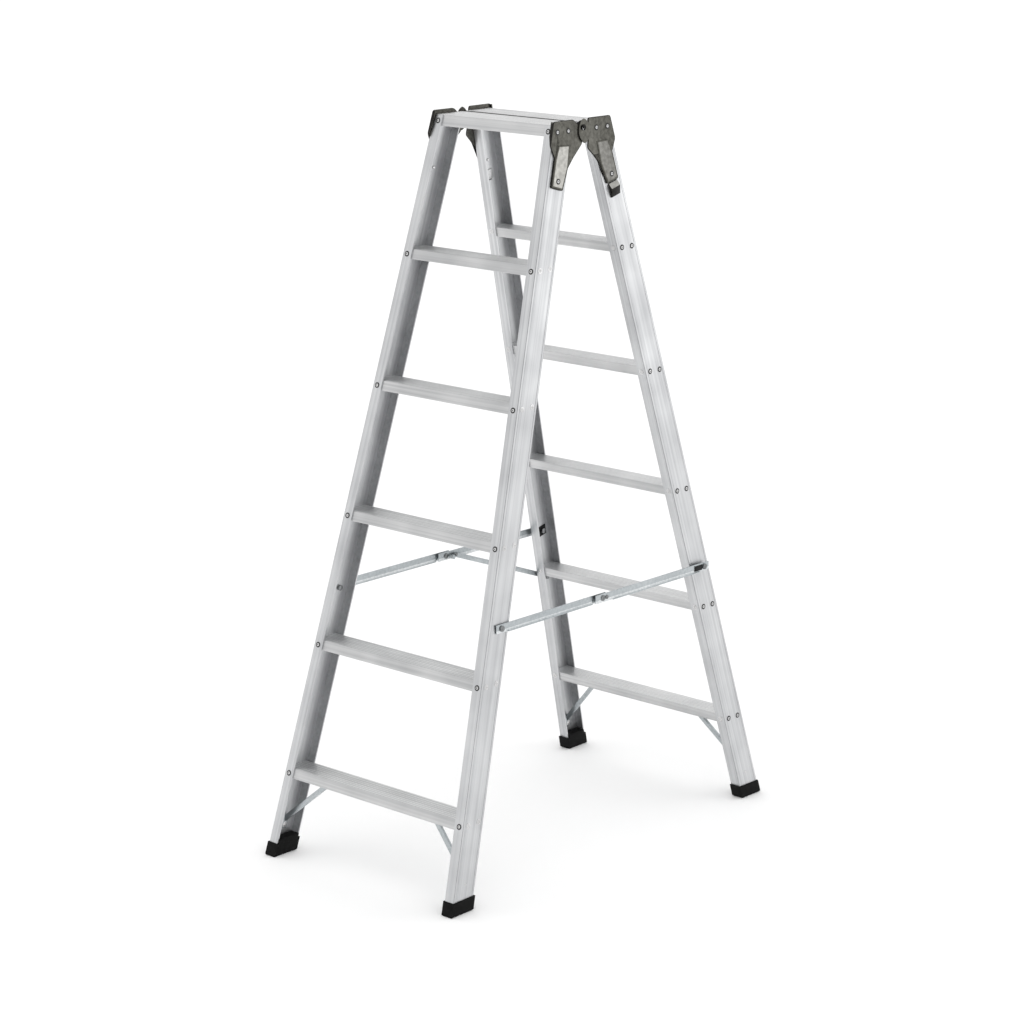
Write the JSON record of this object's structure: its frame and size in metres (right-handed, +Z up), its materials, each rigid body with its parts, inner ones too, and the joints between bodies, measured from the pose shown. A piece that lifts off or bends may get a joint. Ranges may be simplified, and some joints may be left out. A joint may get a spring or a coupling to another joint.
{
  "type": "trestle ladder",
  "caption": "Folding A-shaped trestle ladder in channel aluminium: two ladder sections hinged at the top step, held open by folding side stays, on rubber boots.",
  "frame": {"origin": "floor level, midway between the four boots", "axes": "+Z up; +X along the steps towards the right stiles; the front section stands towards -Y and the rear section towards +Y"},
  "size_m": [0.5982, 1.1266, 1.7092],
  "materials": {
    "stile_aluminium": "mill finish",
    "step_aluminium": "ribbed mill finish",
    "boot_rubber": "matt black",
    "rivet_steel": "bright",
    "hinge_steel": "dark plated",
    "pin_steel": "dark plated",
    "zinc_steel": "zinc plated",
    "bolt_steel": "bright",
    "black_plastic": "matt"
  },
  "bodies": {
    "front_section": {"front_stile_left": "stile_aluminium", "front_stile_right": "stile_aluminium", "front_rung_1": "step_aluminium", "front_rung_2": "step_aluminium", "front_rung_3": "step_aluminium", "front_rung_4": "step_aluminium", "front_rung_5": "step_aluminium", "front_tread": "step_aluminium", "front_boot_left": "boot_rubber", "front_boot_right": "boot_rubber", "front_strut_left": "zinc_steel", "front_strut_right": "zinc_steel", "front_plate_left": "hinge_steel", "front_plate_right": "hinge_steel", "front_flange_rivets": "rivet_steel", "front_web_rivets": "rivet_steel", "front_plate_rivets": "rivet_steel", "front_strut_rivets": "rivet_steel", "front_stay_bolts": "bolt_steel", "hinge_pin_left": "pin_steel", "hinge_pin_right": "pin_steel"},
    "rear_section": {"rear_stile_left": "stile_aluminium", "rear_stile_right": "stile_aluminium", "rear_rung_1": "step_aluminium", "rear_rung_2": "step_aluminium", "rear_rung_3": "step_aluminium", "rear_rung_4": "step_aluminium", "rear_rung_5": "step_aluminium", "rear_tread": "step_aluminium", "rear_boot_left": "boot_rubber", "rear_boot_right": "boot_rubber", "rear_strut_left": "zinc_steel", "rear_strut_right": "zinc_steel", "rear_plate_left": "hinge_steel", "rear_plate_right": "hinge_steel", "rear_flange_rivets": "rivet_steel", "rear_web_rivets": "rivet_steel", "rear_plate_rivets": "rivet_steel", "rear_strut_rivets": "rivet_steel", "rear_stay_bolts": "bolt_steel", "stay_backings": "black_plastic", "prop_bolt": "bolt_steel"},
    "left_front_link": {"front_stay_left": "zinc_steel", "front_mid_pin_left": "bolt_steel"},
    "right_front_link": {"front_stay_right": "zinc_steel", "front_mid_pin_right": "bolt_steel"},
    "left_rear_link": {"rear_stay_left": "zinc_steel", "rear_mid_pin_left": "bolt_steel", "stay_stud_left": "bolt_steel", "stay_pad_left": "black_plastic"},
    "right_rear_link": {"rear_stay_right": "zinc_steel", "rear_mid_pin_right": "bolt_steel", "stay_stud_right": "bolt_steel", "stay_pad_right": "black_plastic"},
    "prop_link": {"prop": "zinc_steel"},
    "left_lock": {"lock_tab_left": "hinge_steel"},
    "right_lock": {"lock_tab_right": "hinge_steel"}
  },
  "joints": [
    {"name": "section_fold", "type": "hinge", "parent": "front_section", "child": "rear_section", "pos_m": [0, 0, 1.6895], "axis": [-1, 0, 0], "range_deg": [0, 30.8]},
    {"name": "left_front_link_turn", "type": "hinge", "parent": "front_section", "child": "left_front_link", "pos_m": [-0.25426, -0.35291, 0.615], "axis": [1, 0, 0], "range_deg": [0, 49.2]},
    {"name": "left_rear_link_turn", "type": "hinge", "parent": "rear_section", "child": "left_rear_link", "pos_m": [-0.25426, 0.3638, 0.615], "axis": [-1, 0, 0], "range_deg": [0, 81.5]},
    {"name": "right_front_link_turn", "type": "hinge", "parent": "front_section", "child": "right_front_link", "pos_m": [0.25426, -0.35291, 0.615], "axis": [1, 0, 0], "range_deg": [0, 80.7]},
    {"name": "right_rear_link_turn", "type": "hinge", "parent": "rear_section", "child": "right_rear_link", "pos_m": [0.25426, 0.3638, 0.615], "axis": [-1, 0, 0], "range_deg": [0, 50.2]},
    {"name": "prop_turn", "type": "hinge", "parent": "rear_section", "child": "prop_link", "pos_m": [-0.26292, 0.39249, 0.48825], "axis": [-0.9979, -0.0173, 0.0628], "range_deg": [0, 40.1]},
    {"name": "left_lock_slide", "type": "slide", "parent": "rear_section", "child": "left_lock", "axis": [-0.0652, 0.265, -0.962], "range_m": [0, 0.008], "stiffness_N_per_m": 250, "springref_m": -0.006},
    {"name": "right_lock_slide", "type": "slide", "parent": "rear_section", "child": "right_lock", "axis": [0.0652, 0.265, -0.962], "range_m": [0, 0.008], "stiffness_N_per_m": 250, "springref_m": -0.006}
  ],
  "couplings": [
    {"joint": "left_front_link_turn", "follows": "section_fold", "ratio": 1.5942},
    {"joint": "right_front_link_turn", "follows": "section_fold", "ratio": 2.6167},
    {"joint": "left_rear_link_turn", "follows": "section_fold", "ratio": 2.6433},
    {"joint": "right_rear_link_turn", "follows": "section_fold", "ratio": 1.6263},
    {"joint": "prop_turn", "follows": "section_fold", "ratio": 1.2987}
  ]
}
